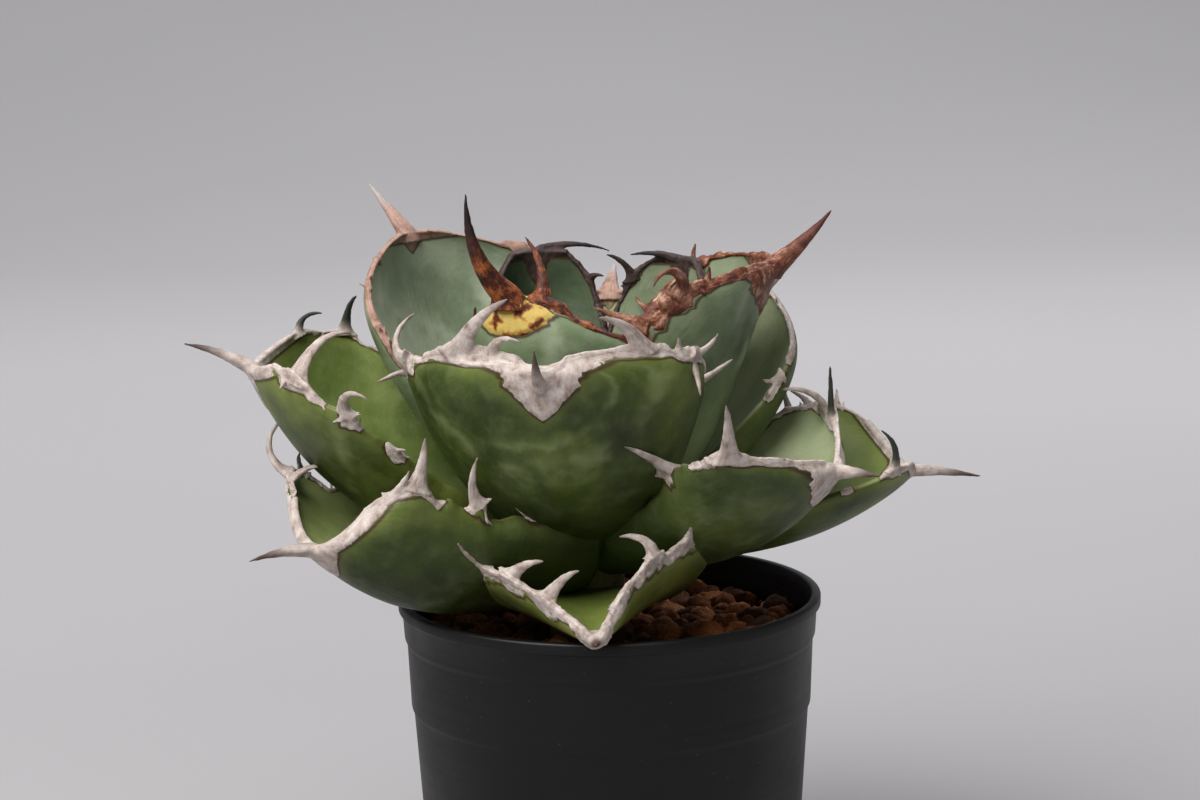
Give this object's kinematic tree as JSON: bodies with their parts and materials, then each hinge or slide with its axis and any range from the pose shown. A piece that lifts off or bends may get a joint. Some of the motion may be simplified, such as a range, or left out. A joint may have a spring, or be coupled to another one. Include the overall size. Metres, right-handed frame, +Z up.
{
  "type": "potted agave",
  "caption": "Small potted agave: a rosette of thick cupped leaves with pale toothed horny rims and long spines, on gritty soil in a plain black round pot.",
  "frame": {"origin": "centre of the pot's flat underside, where it rests", "axes": "+Z up along the pot's axis, +X to the right and -Y toward the viewer in the picture's view"},
  "size_m": [0.1402, 0.1056, 0.1424],
  "materials": {
    "pot_plastic": "satin black, lightly scuffed",
    "soil_grit": "matt crumbly clay grains",
    "stem_bark": "matt, fibrous",
    "leaf_skin": "waxy satin, faint pale imprints",
    "horn": "dry, fibrous, chalky grey-white",
    "horn_dark": "satin dark mahogany",
    "horn_brown": "dry tan and brown, mottled",
    "horn_rust": "dry, pinkish brown"
  },
  "bodies": {
    "root": {"pot": "pot_plastic", "soil": "soil_grit", "stem": "stem_bark", "bud": "leaf_skin", "bud_spine": "horn", "blade_centre_front": "leaf_skin", "horn_centre_front": "horn_dark", "blade_back_middle": "leaf_skin", "horn_back_middle": "horn_dark", "blade_back_right": "leaf_skin", "horn_back_right": "horn_dark", "blade_centre_right": "leaf_skin", "horn_centre_right": "horn_brown", "blade_back_left": "leaf_skin", "horn_back_left": "horn_rust", "blade_front": "leaf_skin", "horn_front": "horn", "blade_right_back": "leaf_skin", "horn_right_back": "horn", "blade_left": "leaf_skin", "horn_left": "horn", "blade_low_right": "leaf_skin", "horn_low_right": "horn", "blade_low_back": "leaf_skin", "horn_low_back": "horn", "blade_low_left": "leaf_skin", "horn_low_left": "horn", "blade_far_right": "leaf_skin", "horn_far_right": "horn", "blade_low_back_left": "leaf_skin", "horn_low_back_left": "horn", "blade_low_front": "leaf_skin", "horn_low_front": "horn"}
  },
  "joints": []
}
